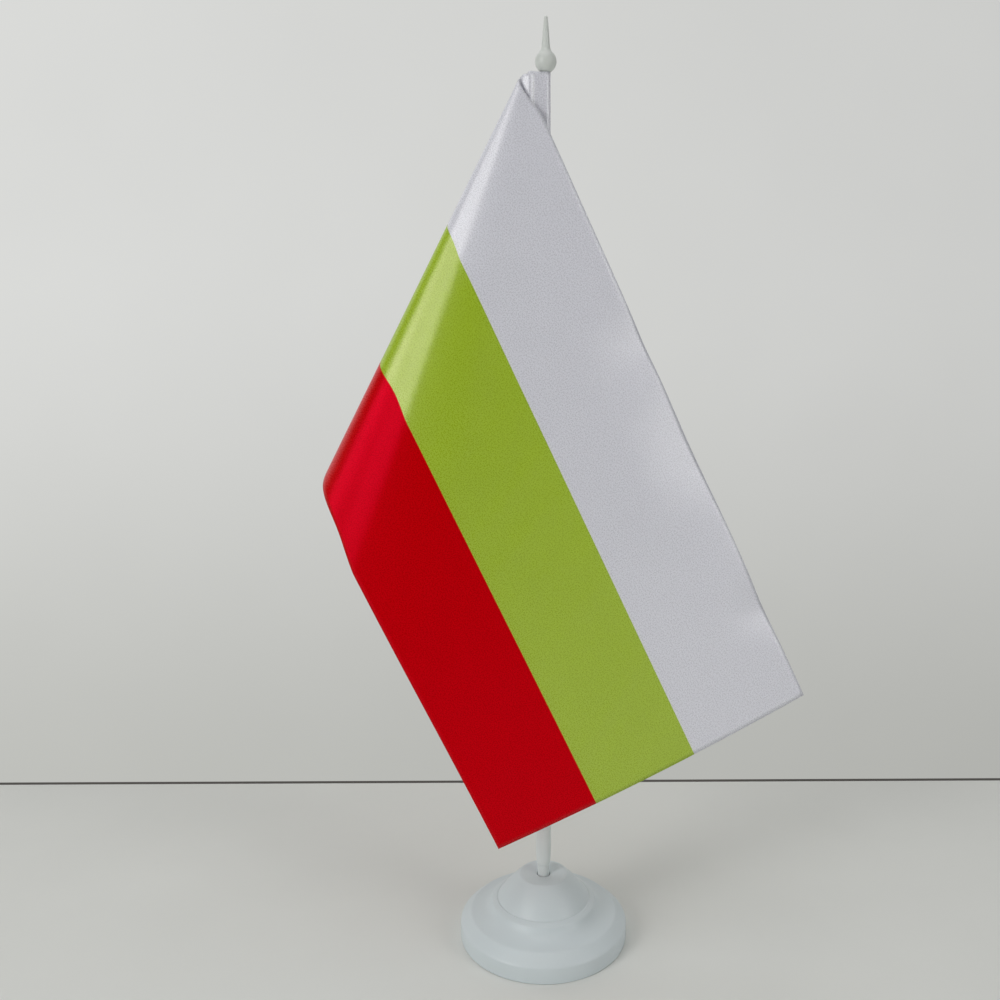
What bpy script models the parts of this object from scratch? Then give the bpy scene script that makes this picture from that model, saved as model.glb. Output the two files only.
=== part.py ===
"""Desk flag stand: a turned-looking round base, a tapered pole, a ball-and-spike
finial and a cloth flag whose sewn sleeve hangs on the pole.

Metres, +Z up. The origin is the middle of the underside of the base, on the pole's
axis, -Y is the side that the flag's front layer faces, and +X is the side that its
fly end hangs towards.
"""
import math

import bmesh
import bpy
from mathutils import Matrix, Vector

GAP = 0.0003             # clearance between pieces that touch
SIDES_BASE = 64          # facets round the base
SIDES_POLE = 24          # facets round the pole and the finial
SIDES_THREAD = 8
SMOOTH_BASE = 28         # degrees between faces that still shade as one curve
SMOOTH_POLE = 30
SMOOTH_FINIAL = 35
SMOOTH_CLOTH = 60

# Base: a round hollow moulding with a socket for the pole in its middle
BASE_DIAMETER = 0.0766
BAND_HEIGHT = 0.0076     # upright band round the rim
CHAMFER_RUN = 0.0048     # sloping flat above the band, measured inwards
CHAMFER_RISE = 0.0043
COVE_RISE = 0.0055       # hollow curve up to the raised ring
COVE_BEND = (0.0016, 0.0006)     # its corner, out from the ring and up from the chamfer
RING_WIDTH = 0.0026      # raised ring round the foot of the dome
RING_ROUND = 0.0004
RING_LIFT = 0.0011       # how much the ring's top slopes up towards the dome
DOME_RUN = 0.01025       # from the ring in to the rim of the dome's dished top
DOME_RISE = 0.0126
DOME_BEND = (0.0045, 0.0054)     # its corner, in from the ring and down from the rim
DISH_WIDTH = 0.00805     # from the rim in to the socket
DISH_DEPTH = 0.0003
DISH_LIP = 0.0020        # how wide the rim's rounding is
BASE_WALL = 0.0020
RIM_ROUND = 0.0004       # small bevel at the foot and the top of the band
BOSS_WALL = 0.0022       # plastic round the socket
COVE_STEPS = 6
DOME_STEPS = 8
SOCKET_FLOOR = 0.0030
MOUTH_BEVEL = 0.0004
WEB_COUNT = 4
WEB_THICKNESS = 0.0014
WEB_LIFT = 0.0020        # height of the webs' lower edges above the table

# Pole: a tapered moulded stick with a thinner spigot at the foot
SPIGOT_DIAMETER = 0.0053
SPIGOT_SHOWN = 0.0050    # length of spigot between the base and the shoulder
SHOULDER_STEP = 0.00045  # how far the shoulder stands out from the spigot
POLE_DIAMETER = 0.0069
SWELL_LENGTH = 0.0065    # from the shoulder up to the full diameter
TIP_DIAMETER = 0.0032    # at the top, inside the finial
POLE_END_BEVEL = 0.0005
TAPER_STEPS = 4

# Finial: a ball with a blind hole below and a long fine spike above
BALL_DIAMETER = 0.0087
STAND_HEIGHT = 0.4001    # from the table to the tip of the spike
SPIKE_RISE = 0.0171      # from the ball's middle to the tip
SPIKE_TIP_DIAMETER = 0.0015
SPIKE_WAIST_DIAMETER = 0.0034
SPIKE_WAIST_LIFT = 0.0062        # of the waist above the ball's middle
SPIKE_FLARE = 38.0       # degrees up the ball where the spike's foot meets it
SPIKE_FLARE_RISE = 0.0014
SPIKE_END_SHARE = 0.8    # flat end of the spike, as a share of its tip's width
FLARE_STEPS = 5
BALL_STEPS = 12
FINIAL_HOLE_DEPTH = 0.0050

# Flag: one cloth, a sleeve sewn at the hoist and a panel that folds over itself
FLAG_HOIST = 0.1500      # height of the cloth along the pole
PANEL_LENGTH = 0.2910    # from the hoist line to the fly end
CLOTH = 0.0006           # solid's thickness: the cloth with its small ripples
SEAM_OUT = 0.00147       # from the sleeve's round part out to the seam that closes it
FLAP_WIDTH = 0.0021      # turned edge behind the seam
HOIST_OUT = 0.0028       # from the seam out to the line where the panel starts to fold
HOIST_ANGLE = 206.9      # where that line is, in degrees round the pole from +X
FOLD_RISE = 0.0050       # the folds run together this far above the cloth's top edge
BACK_HEADING = 22.3      # degrees behind -X that the panel sets off from the hoist
BACK_ARC = 19.1          # degrees of fan in the back layer
ROLL_ARC = 25.95         # degrees of fan in the rolled fold
ROLL_BEND = -8.0         # how sharply the roll bends, per radian of fan
FRONT_BEND = 0.15        # slight bow of the front layer
FLAG_ROWS = 14
SLEEVE_STEPS = 12
BACK_STEPS = 4
ROLL_STEPS = 14
FRONT_STEPS = 14
THREAD_DIAMETER = 0.0003
THREAD_INSET = 0.0024    # how far the threads end inside the cloth's edges

base_r = BASE_DIAMETER / 2
edge_r = base_r - CHAMFER_RUN
edge_z = BAND_HEIGHT + CHAMFER_RISE
socket_r = SPIGOT_DIAMETER / 2 + GAP
boss_r = socket_r + BOSS_WALL
dome_r = socket_r + DISH_WIDTH
ring_in = dome_r + DOME_RUN
ring_r = ring_in + RING_WIDTH
ring_z = edge_z + COVE_RISE
ring_top_z = ring_z + RING_LIFT
dome_z = ring_z + DOME_RISE
mouth_z = dome_z - DISH_DEPTH
tip_r = TIP_DIAMETER / 2
finial_hole_r = tip_r + GAP
ball_r = BALL_DIAMETER / 2
ball_z = STAND_HEIGHT - SPIKE_RISE
ball_bottom_z = ball_z - math.sqrt(ball_r ** 2 - finial_hole_r ** 2)
sleeve_top_z = ball_bottom_z - GAP
shoulder_z = mouth_z + SPIGOT_SHOWN
swell_z = shoulder_z + SWELL_LENGTH


def material(name, colour, roughness, metallic=0.0):
    """A plain Principled material."""
    made = bpy.data.materials.new(name)
    made.use_nodes = True
    shader = made.node_tree.nodes["Principled BSDF"]
    shader.inputs["Base Color"].default_value = (*colour, 1.0)
    shader.inputs["Roughness"].default_value = roughness
    shader.inputs["Metallic"].default_value = metallic
    return made


def new_object(name, bm, finish, parent=None):
    """Link a bmesh as a named object, its mesh given in world metres."""
    mesh = bpy.data.meshes.new(name)
    bm.to_mesh(mesh)
    bm.free()
    mesh.materials.append(finish)
    made = bpy.data.objects.new(name, mesh)
    bpy.context.collection.objects.link(made)
    if parent is not None:
        made.parent = parent
        made.matrix_parent_inverse = parent.matrix_world.inverted()
    return made


def axis_empty(name, z, parent=None):
    """An empty on the pole's axis, which the pieces of one moving body hang from."""
    made = bpy.data.objects.new(name, None)
    made.empty_display_size = 0.02
    made.matrix_world = Matrix.Translation((0.0, 0.0, z))
    bpy.context.collection.objects.link(made)
    bpy.context.view_layer.update()
    if parent is not None:
        made.parent = parent
        made.matrix_parent_inverse = parent.matrix_world.inverted()
        bpy.context.view_layer.update()
    return made


def bezier(start, handle, end, count):
    """Points of a quadratic curve, its start left out and its end kept."""
    points = []
    for step in range(1, count + 1):
        t = step / count
        a, b, c = (1 - t) ** 2, 2 * t * (1 - t), t * t
        points.append((a * start[0] + b * handle[0] + c * end[0],
                       a * start[1] + b * handle[1] + c * end[1]))
    return points


def turned(profile, sides):
    """Spin a profile of (radius, height) points, both ends on the axis, about Z."""
    bm = bmesh.new()
    corners = [bm.verts.new((r, 0.0, z)) for r, z in profile]
    edges = [bm.edges.new(pair) for pair in zip(corners, corners[1:])]
    bmesh.ops.spin(bm, geom=corners + edges, cent=(0, 0, 0), axis=(0, 0, 1),
                   angle=math.tau, steps=sides, use_merge=True)
    bmesh.ops.remove_doubles(bm, verts=bm.verts, dist=1e-6)
    bmesh.ops.recalc_face_normals(bm, faces=bm.faces)
    return bm


def smooth(made, degrees):
    made.data.shade_smooth()
    made.data.set_sharp_from_angle(angle=math.radians(degrees))


def offset_inwards(points, distance):
    """The same open outline, moved to the right of its direction with mitred corners."""
    moved = []
    for i, point in enumerate(points):
        sides = []
        for a, b in ((i - 1, i), (i, i + 1)):
            if a >= 0 and b < len(points):
                run = Vector(points[b]) - Vector(points[a])
                sides.append(Vector((run.y, -run.x)).normalized())
        normal = sum(sides, Vector((0, 0))).normalized()
        reach = distance / max(normal.dot(sides[0]), 0.5)
        moved.append((point[0] - normal.x * reach, point[1] - normal.y * reach))
    return moved


# ---------------------------------------------------------------- base
def cove(count):
    """The hollow curve from the chamfer up to the foot of the ring."""
    bend = (ring_r + COVE_BEND[0], edge_z + COVE_BEND[1])
    return bezier((edge_r, edge_z), bend, (ring_r + RING_ROUND, ring_z - 2 * RING_ROUND), count)


def dome(count):
    """The dome's curve, from the ring up to the rim of the dished top."""
    bend = (ring_in - DOME_BEND[0], dome_z - DOME_BEND[1])
    return bezier((ring_in, ring_top_z - RING_ROUND), bend, (dome_r, dome_z - RIM_ROUND), count)


def base_outside():
    """The shown side, from the foot of the band up to the mouth of the socket."""
    points = [(base_r - RIM_ROUND, 0.0), (base_r, RIM_ROUND), (base_r, BAND_HEIGHT - RIM_ROUND)]
    points += [(base_r - RIM_ROUND, BAND_HEIGHT), (edge_r, edge_z)] + cove(COVE_STEPS)
    points += [(ring_r - RING_ROUND, ring_z), (ring_in + RING_ROUND, ring_top_z)]
    points += [(ring_in, ring_top_z - RING_ROUND)] + dome(DOME_STEPS)
    points += [(dome_r - DISH_LIP / 2, dome_z), (dome_r - DISH_LIP, dome_z - DISH_DEPTH / 3)]
    points.append((socket_r + MOUTH_BEVEL, mouth_z))
    return points


def base_inside():
    """The hidden side of the wall, from the boss out to the foot of the band."""
    shown = [(base_r, 0.0), (base_r, BAND_HEIGHT), (edge_r, edge_z)] + cove(3)[:2]
    shown += [(ring_in, ring_z)] + dome(4)[1:] + [(boss_r, dome_z - RIM_ROUND)]
    return offset_inwards(shown, BASE_WALL)[::-1]


def web(angle, inside, finish):
    """A guide body for one upright web between the boss and the wall."""
    half = WEB_THICKNESS / 2
    reach = BASE_WALL / 2
    outline = [(boss_r - BOSS_WALL / 2, WEB_LIFT)]
    outline += [(boss_r - BOSS_WALL / 2, inside[0][1] + reach)]
    outline += [(r + reach / 2, z + reach / 2) for r, z in inside[1:-1]]
    outline += [(inside[-1][0] + reach, WEB_LIFT)]
    bm = bmesh.new()
    face = bm.faces.new([bm.verts.new((r, -half, z)) for r, z in outline])
    grown = bmesh.ops.extrude_face_region(bm, geom=[face])
    bmesh.ops.translate(bm, vec=(0, WEB_THICKNESS, 0),
                        verts=[v for v in grown["geom"] if isinstance(v, bmesh.types.BMVert)])
    bmesh.ops.recalc_face_normals(bm, faces=bm.faces)
    bmesh.ops.rotate(bm, verts=bm.verts, cent=(0, 0, 0), matrix=Matrix.Rotation(angle, 3, "Z"))
    made = new_object("web_guide_%d" % round(math.degrees(angle)), bm, finish)
    made.hide_render = True
    made.display_type = "WIRE"
    return made


def build_base(finish):
    inside = base_inside()
    profile = [(0.0, 0.0), (boss_r, 0.0)] + inside + base_outside()
    profile += [(socket_r, mouth_z - MOUTH_BEVEL), (socket_r, SOCKET_FLOOR), (0.0, SOCKET_FLOOR)]
    made = new_object("base", turned(profile, SIDES_BASE), finish)
    for number in range(WEB_COUNT):
        angle = math.tau * (number + 0.5) / WEB_COUNT
        join = made.modifiers.new("web_%d" % number, "BOOLEAN")
        join.operation = "UNION"
        join.solver = "EXACT"
        join.object = web(angle, inside, finish)
    smooth(made, SMOOTH_BASE)
    return made


# ---------------------------------------------------------------- pole
def pole_radius(z):
    """The stick's radius at a height, above its swell."""
    t = (z - swell_z) / (ball_z - swell_z)
    return POLE_DIAMETER / 2 + t * (tip_r - POLE_DIAMETER / 2)


def build_pole(finish, parent):
    spigot_r = SPIGOT_DIAMETER / 2
    foot_z = SOCKET_FLOOR + GAP
    top_z = ball_bottom_z + FINIAL_HOLE_DEPTH - GAP
    neck_z = ball_bottom_z - GAP
    profile = [(0.0, top_z), (tip_r - POLE_END_BEVEL, top_z), (tip_r, top_z - POLE_END_BEVEL)]
    profile += [(tip_r, neck_z), (pole_radius(neck_z), neck_z - GAP)]
    for step in range(1, TAPER_STEPS):
        z = neck_z + (swell_z - neck_z) * step / TAPER_STEPS
        profile.append((pole_radius(z), z))
    profile += [(POLE_DIAMETER / 2, swell_z), (spigot_r + SHOULDER_STEP, shoulder_z + GAP)]
    profile += [(spigot_r, shoulder_z), (spigot_r, foot_z + POLE_END_BEVEL)]
    profile += [(spigot_r - POLE_END_BEVEL, foot_z), (0.0, foot_z)]
    made = new_object("pole", turned(profile, SIDES_POLE), finish, parent)
    smooth(made, SMOOTH_POLE)
    return made


# ---------------------------------------------------------------- finial
def build_finial(finish, parent):
    tip = SPIKE_TIP_DIAMETER / 2
    waist = (SPIKE_WAIST_DIAMETER / 2, ball_z + SPIKE_WAIST_LIFT)
    shaft = (tip, STAND_HEIGHT - tip / 2)
    profile = [(0.0, STAND_HEIGHT), (tip * SPIKE_END_SHARE, STAND_HEIGHT), shaft]
    profile += [((shaft[0] + waist[0]) / 2, (shaft[1] + waist[1]) / 2), waist]
    flare = math.radians(SPIKE_FLARE)
    on_ball = (ball_r * math.cos(flare), ball_z + ball_r * math.sin(flare))
    profile += bezier(waist, (waist[0], on_ball[1] + SPIKE_FLARE_RISE), on_ball, FLARE_STEPS)
    low = math.asin((ball_bottom_z - ball_z) / ball_r)
    for step in range(1, BALL_STEPS + 1):
        angle = flare + (low - flare) * step / BALL_STEPS
        profile.append((ball_r * math.cos(angle), ball_z + ball_r * math.sin(angle)))
    hole_top = ball_bottom_z + FINIAL_HOLE_DEPTH
    profile += [(finial_hole_r, hole_top), (0.0, hole_top)]
    made = new_object("finial", turned(profile, SIDES_POLE), finish, parent)
    smooth(made, SMOOTH_FINIAL)
    return made


# ---------------------------------------------------------------- flag
def sleeve_radius(z):
    """Radius of the middle of the sleeve's cloth at a height."""
    return pole_radius(z) + GAP + CLOTH / 2


seam_distance = sleeve_radius(sleeve_top_z - FLAG_HOIST) + SEAM_OUT
hoist_distance = seam_distance + HOIST_OUT
seam_way = Matrix.Rotation(math.radians(HOIST_ANGLE), 3, "Z") @ Vector((1.0, 0.0, 0.0))
seam_back = Vector((seam_way.y, -seam_way.x, 0.0))     # to the seam's rear side


def seam_place(out, back, z):
    """A point by its distance out along the seam's plane and its distance behind it."""
    return seam_way * out + seam_back * back + Vector((0.0, 0.0, z))


def fan_arcs():
    """The fold as arcs on a sphere of directions: start, direction, heading, axis, rate."""
    heading = math.radians(BACK_HEADING)
    way = Vector((0.0, 0.0, -1.0))
    ahead = Vector((-math.cos(heading), math.sin(heading), 0.0))
    arcs = []
    start = 0.0
    back, roll = math.radians(BACK_ARC), math.radians(ROLL_ARC)
    for length, bend in ((back, 0.0), (roll, ROLL_BEND), (math.pi / 2 - back - roll, FRONT_BEND)):
        axis = way.cross(ahead) + bend * way
        rate = axis.length
        arcs.append((start, way.copy(), axis.normalized(), rate))
        turn = Matrix.Rotation(length * rate, 3, axis.normalized())
        way = turn @ way
        ahead = turn @ ahead
        start += length
    return arcs


def panel_point(u, v, arcs):
    """Where a point of the flat panel hangs: u from the hoist line, v down from the top."""
    fan = math.atan2(u, v + FOLD_RISE)
    start, way, axis, rate = [arc for arc in arcs if arc[0] <= fan + 1e-9][-1]
    way = Matrix.Rotation((fan - start) * rate, 3, axis) @ way
    apex = seam_place(hoist_distance, 0.0, sleeve_top_z + FOLD_RISE)
    return apex + way * math.hypot(u, v + FOLD_RISE)


def sleeve_outline(z):
    """The sleeve and the turned edge behind it, in plan, from the flap to the seam."""
    round_r = sleeve_radius(z)
    lap = CLOTH + GAP
    tangent = math.acos(round_r / seam_distance)
    outline = [(seam_distance + FLAP_WIDTH, lap), (seam_distance, lap)]
    for step in range(SLEEVE_STEPS + 1):
        angle = tangent + (math.tau - 2 * tangent) * step / SLEEVE_STEPS
        outline.append((round_r * math.cos(angle), round_r * math.sin(angle)))
    outline.append((seam_distance, 0.0))
    return outline


def flag_columns():
    """Pairs of flat-panel distances u, at the top and the bottom edge, for each column."""
    back, roll = math.radians(BACK_ARC), math.radians(ROLL_ARC)
    fans = [back * step / BACK_STEPS for step in range(BACK_STEPS)]
    fans += [back + roll * step / ROLL_STEPS for step in range(ROLL_STEPS + 1)]
    columns = [(FOLD_RISE * math.tan(fan), (FLAG_HOIST + FOLD_RISE) * math.tan(fan))
               for fan in fans]
    last_top, last_bottom = columns[-1]
    for step in range(1, FRONT_STEPS + 1):
        t = step / FRONT_STEPS
        columns.append((last_top + t * (PANEL_LENGTH - last_top),
                        last_bottom + t * (PANEL_LENGTH - last_bottom)))
    return columns


def build_flag(finish, parent):
    """A grid of points on the cloth's middle surface, thickened by Solidify."""
    arcs = fan_arcs()
    grid = []
    for row in range(FLAG_ROWS + 1):
        v = FLAG_HOIST * row / FLAG_ROWS
        z = sleeve_top_z - v
        line = [seam_place(out, back, z) for out, back in sleeve_outline(z)]
        for top, bottom in flag_columns():
            line.append(panel_point(top + (bottom - top) * row / FLAG_ROWS, v, arcs))
        grid.append(line)
    bm = bmesh.new()
    verts = [[bm.verts.new(point) for point in line] for line in grid]
    for upper, lower in zip(verts, verts[1:]):
        for i in range(len(upper) - 1):
            bm.faces.new((upper[i], upper[i + 1], lower[i + 1], lower[i]))
    bmesh.ops.recalc_face_normals(bm, faces=bm.faces)
    made = new_object("flag", bm, finish, parent)
    thick = made.modifiers.new("cloth", "SOLIDIFY")
    thick.thickness = CLOTH
    thick.offset = 0.0
    thick.use_even_offset = True
    smooth(made, SMOOTH_CLOTH)
    return made


def build_thread(name, back, finish, parent):
    """One of the two threads of the seam, laid straight along the cloth's face."""
    radius = THREAD_DIAMETER / 2
    length = FLAG_HOIST - 2 * THREAD_INSET
    bm = bmesh.new()
    bmesh.ops.create_cone(bm, cap_ends=True, segments=SIDES_THREAD, radius1=radius,
                          radius2=radius, depth=length)
    middle = seam_place(seam_distance + FLAP_WIDTH / 2, back, sleeve_top_z - FLAG_HOIST / 2)
    bmesh.ops.translate(bm, vec=middle, verts=bm.verts)
    made = new_object(name, bm, finish, parent)
    smooth(made, SMOOTH_CLOTH)
    return made


def main():
    for old in list(bpy.data.objects):
        bpy.data.objects.remove(old, do_unlink=True)
    moulding = material("base_plastic", (0.78, 0.80, 0.79), 0.42)
    stick = material("pole_plastic", (0.78, 0.80, 0.79), 0.40)
    knob = material("finial_plastic", (0.78, 0.80, 0.79), 0.40)
    satin = material("flag_cloth", (0.80, 0.80, 0.83), 0.60)
    cotton = material("seam_thread", (0.82, 0.82, 0.82), 0.70)
    build_base(moulding)
    pole_axis = axis_empty("pole_axis", SOCKET_FLOOR)
    build_pole(stick, pole_axis)
    finial_axis = axis_empty("finial_axis", ball_bottom_z, pole_axis)
    build_finial(knob, finial_axis)
    flag_axis = axis_empty("flag_axis", sleeve_top_z, pole_axis)
    build_flag(satin, flag_axis)
    clear = CLOTH / 2 + GAP + THREAD_DIAMETER / 2
    build_thread("seam_thread_front", -clear, cotton, flag_axis)
    build_thread("seam_thread_back", CLOTH + GAP + clear, cotton, flag_axis)


main()
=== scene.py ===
# %% [markdown]
# # A desk flag on its stand
# The object is a small cloth flag on a moulded plastic stand: a round base, a tapered pole
# and a ball-and-spike finial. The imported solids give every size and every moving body. This
# lesson builds finer pieces in the same places, gives them their finishes and lights them.
# All sizes are in metres, and the origin is the middle of the base's underside.

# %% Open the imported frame
import math

import bmesh
import bpy
from mathutils import Matrix, Vector, noise


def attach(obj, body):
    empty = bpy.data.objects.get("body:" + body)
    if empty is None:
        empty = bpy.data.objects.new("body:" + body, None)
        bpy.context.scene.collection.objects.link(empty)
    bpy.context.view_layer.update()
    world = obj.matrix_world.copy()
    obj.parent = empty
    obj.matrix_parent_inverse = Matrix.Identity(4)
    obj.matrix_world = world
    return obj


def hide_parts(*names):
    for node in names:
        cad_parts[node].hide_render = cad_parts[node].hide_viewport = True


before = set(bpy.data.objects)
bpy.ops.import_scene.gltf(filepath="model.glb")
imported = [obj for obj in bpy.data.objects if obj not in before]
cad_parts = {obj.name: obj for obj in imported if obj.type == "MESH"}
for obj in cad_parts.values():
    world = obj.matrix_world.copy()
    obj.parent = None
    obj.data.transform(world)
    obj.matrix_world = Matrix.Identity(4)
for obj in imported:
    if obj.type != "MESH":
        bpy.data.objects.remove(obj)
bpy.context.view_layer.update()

# %% [markdown]
# The camera stands a little above the middle of the flag and looks slightly down. Its
# place, tilt and focal length decide how much of the base's top shows and how steep the
# flag's lower edge looks, so they are set before anything else is judged.

# %% Set the camera
CAMERA_PLACE = (-0.0067, -0.4205, 0.2796)
CAMERA_PITCH = 10.08      # degrees below level
CAMERA_LENS = 35.62       # mm, on a sensor 36 mm wide
CAMERA_SHIFT = -0.029     # slides the picture a little sideways


def linked(name, data):
    """Put new data in the scene as an object."""
    made = bpy.data.objects.new(name, data)
    bpy.context.collection.objects.link(made)
    return made


lens = bpy.data.cameras.new("camera")
lens.lens = CAMERA_LENS
lens.sensor_width = 36.0
lens.shift_x = CAMERA_SHIFT
lens.clip_start = 0.01
camera = linked("camera", lens)
camera.location = CAMERA_PLACE
camera.rotation_euler = (math.radians(90 - CAMERA_PITCH), 0, 0)
bpy.context.scene.camera = camera
bpy.context.scene.view_settings.view_transform = "Standard"
print("camera at", CAMERA_PLACE, "tilted", CAMERA_PITCH, "degrees down")

# %% [markdown]
# Finishes are made of shader nodes. Two small helpers keep the node code short: one adds
# a node with its links, and one starts a reusable group with named sockets. A group holds
# an effect that several materials share, so it is drawn once and placed in each of them.

# %% Helpers for nodes
def node(tree, kind, sockets=None, **settings):
    """Add a node; each socket is given a value or a link from another node's output."""
    made = tree.nodes.new(kind)
    for key, value in settings.items():
        setattr(made, key, value)
    for key, value in (sockets or {}).items():
        if isinstance(value, bpy.types.NodeSocket):
            tree.links.new(value, made.inputs[key])
        else:
            made.inputs[key].default_value = value
    return made


def maths(tree, operation, *values):
    return node(tree, "ShaderNodeMath", dict(enumerate(values)), operation=operation).outputs[0]


def new_material(name):
    """A material, its node tree and its Principled shader."""
    made = bpy.data.materials.new(name)
    made.use_nodes = True
    return made, made.node_tree, made.node_tree.nodes["Principled BSDF"]


def node_group(name, kind, inputs, outputs):
    """A group with named sockets, and its input and output nodes."""
    tree = bpy.data.node_groups.new(name, kind)
    for label, (socket, value) in inputs.items():
        made = tree.interface.new_socket(label, in_out="INPUT", socket_type=socket)
        if value is not None:
            made.default_value = value
    for label, socket in outputs.items():
        tree.interface.new_socket(label, in_out="OUTPUT", socket_type=socket)
    print("group", name, "with inputs", list(inputs))
    return tree, tree.nodes.new("NodeGroupInput").outputs, tree.nodes.new("NodeGroupOutput").inputs


# %% [markdown]
# The stand is injection-moulded plastic. Its skin copies a lightly blasted mould: a fine
# even grain that dulls the shine, broad faint clouds where the melt cooled at different
# rates, and a little grey dust and handling. The group takes its place on the piece from
# object coordinates, in metres, so the grain has the same real size on every piece.

# %% Moulded plastic group
FLOAT, COLOUR, VECTOR = "NodeSocketFloat", "NodeSocketColor", "NodeSocketVector"
CLOUD_SCALE = 55.0        # clouds to a metre
CLOUD_START, CLOUD_SHARE = 0.35, 0.6
GRAIN_SPREAD, WIPED_SPREAD = 0.12, 0.16     # how far grain and handling move the roughness


def moulded_skin():
    """The skin of a moulding: its colour, its roughness and the height of its grain."""
    tree, given, put = node_group("moulded_skin", "ShaderNodeTree", {
        "Place": (VECTOR, None),
        "Plastic": (COLOUR, (0.8, 0.8, 0.8, 1)),
        "Shade": (COLOUR, (0.6, 0.6, 0.6, 1)),
        "Grain size": (FLOAT, 0.0004),
        "Dullness": (FLOAT, 0.4),
    }, {"Colour": COLOUR, "Roughness": FLOAT, "Height": FLOAT})
    clouds = node(tree, "ShaderNodeTexNoise",
                  {"Vector": given["Place"], "Scale": CLOUD_SCALE, "Detail": 4.0,
                   "Roughness": 0.6})
    fineness = maths(tree, "DIVIDE", 1.0, given["Grain size"])
    grain = node(tree, "ShaderNodeTexNoise",
                 {"Vector": given["Place"], "Scale": fineness, "Detail": 2.0})
    cloudy = maths(tree, "MULTIPLY",
                   maths(tree, "SUBTRACT", clouds.outputs["Fac"], CLOUD_START), CLOUD_SHARE)
    clouded = node(tree, "ShaderNodeMix", {0: cloudy, 6: given["Plastic"], 7: given["Shade"]},
                   data_type="RGBA", clamp_factor=True)
    tree.links.new(clouded.outputs[2], put["Colour"])
    spread = maths(tree, "MULTIPLY",
                   maths(tree, "SUBTRACT", grain.outputs["Fac"], 0.5), GRAIN_SPREAD)
    wiped = maths(tree, "MULTIPLY",
                  maths(tree, "SUBTRACT", clouds.outputs["Fac"], 0.5), WIPED_SPREAD)
    dull = maths(tree, "ADD", given["Dullness"], maths(tree, "ADD", spread, wiped))
    tree.links.new(dull, put["Roughness"])
    tree.links.new(grain.outputs["Fac"], put["Height"])
    return tree


plastic_group = moulded_skin()

# %% [markdown]
# The flag is satin-woven polyester. In a satin each warp thread floats over four weft
# threads and dips under the fifth, and the dips are staggered, so the face is nearly all
# parallel floats and shines. The group draws that pattern from the cloth's own flat
# coordinates, in metres, so the threads follow the cloth round the sleeve and the fold.

# %% Satin weave group
SATIN_REPEAT, SATIN_STEP = 5.0, 2.0     # every fifth thread dips, two on from its neighbour's
DIP = 0.7                               # share of a thread's height that a dip takes away
SLUB_SCALE, PATCH_SCALE = 1900.0, 38.0  # uneven threads and broad patches, to a metre
# brightness under the weave's painted shade, and the share of the patches' own tone
TOP_SHADE, DEPTH_SHADE, PATCH_SHADE = 0.97, -0.6, 0.06
SLUB_ROUGH, DIP_ROUGH, SLUB_HEIGHT = 0.25, 0.12, 0.3


def satin_weave():
    """The face of a satin: the ink's colour with painted shade, the roughness and the height of
    its threads.
    """
    tree, given, put = node_group("satin_weave", "ShaderNodeTree", {
        "Cloth": (VECTOR, None),
        "Ink": (COLOUR, (0.8, 0.8, 0.8, 1)),
        "Thread pitch": (FLOAT, 0.00025),
        "Shine": (FLOAT, 0.4),
        "Depth": (FLOAT, 0.1),
        "Grain": (FLOAT, 0.50),
    }, {"Colour": COLOUR, "Roughness": FLOAT, "Height": FLOAT})
    flat = node(tree, "ShaderNodeSeparateXYZ", {0: given["Cloth"]}).outputs
    across = maths(tree, "DIVIDE", flat["Y"], given["Thread pitch"])
    along = maths(tree, "DIVIDE", flat["X"], given["Thread pitch"])
    warp = maths(tree, "FLOOR", across)
    weft = maths(tree, "FLOOR", along)
    place = maths(tree, "MULTIPLY_ADD", warp, SATIN_STEP, weft)
    dip = maths(tree, "MODULO", place, SATIN_REPEAT)
    dips = maths(tree, "LESS_THAN", maths(tree, "ABSOLUTE", dip), 0.5)
    side = maths(tree, "SUBTRACT", maths(tree, "MULTIPLY", maths(tree, "FRACT", across), 2.0), 1.0)
    crown = maths(tree, "SUBTRACT", 1.0, maths(tree, "MULTIPLY", side, side))
    height = maths(tree, "MULTIPLY", crown, maths(tree, "SUBTRACT", 1.0,
                                                  maths(tree, "MULTIPLY", dips, DIP)))
    slub = node(tree, "ShaderNodeTexNoise", {"Vector": given["Cloth"], "Scale": SLUB_SCALE,
                                             "Detail": 2.0})
    patch = node(tree, "ShaderNodeTexNoise", {"Vector": given["Cloth"], "Scale": PATCH_SCALE,
                                              "Detail": 3.0})
    uneven = maths(tree, "SUBTRACT", slub.outputs["Fac"], 0.5)
    # painted shade on the sides of each thread and in its dips, plus the cloth's own uneven tone
    shade = maths(tree, "ADD", maths(tree, "MULTIPLY", height, given["Depth"]),
                  maths(tree, "MULTIPLY", uneven, given["Grain"]))
    shade = maths(tree, "MULTIPLY_ADD", patch.outputs["Fac"], PATCH_SHADE, shade)
    lowest = maths(tree, "MULTIPLY_ADD", given["Depth"], DEPTH_SHADE, TOP_SHADE)
    bright = maths(tree, "ADD", lowest, shade)
    tint = node(tree, "ShaderNodeCombineXYZ", {0: bright, 1: bright, 2: bright})
    inked = node(tree, "ShaderNodeMix", {0: 1.0, 6: given["Ink"], 7: tint.outputs[0]},
                 data_type="RGBA", blend_type="MULTIPLY")
    tree.links.new(inked.outputs[2], put["Colour"])
    rough = maths(tree, "MULTIPLY_ADD", uneven, SLUB_ROUGH, given["Shine"])
    tree.links.new(maths(tree, "MULTIPLY_ADD", dips, DIP_ROUGH, rough), put["Roughness"])
    tree.links.new(maths(tree, "MULTIPLY_ADD", slub.outputs["Fac"], SLUB_HEIGHT, height),
                   put["Height"])
    return tree


weave_group = satin_weave()

# %% [markdown]
# Each material keeps its own Principled shader, and the constants that never vary, such
# as the refractive index, are set straight on its sockets. The base, the pole and the
# finial are three mouldings of one plastic, so they share the group with slightly
# different values: the base is a touch bluer than the pole.

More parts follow.
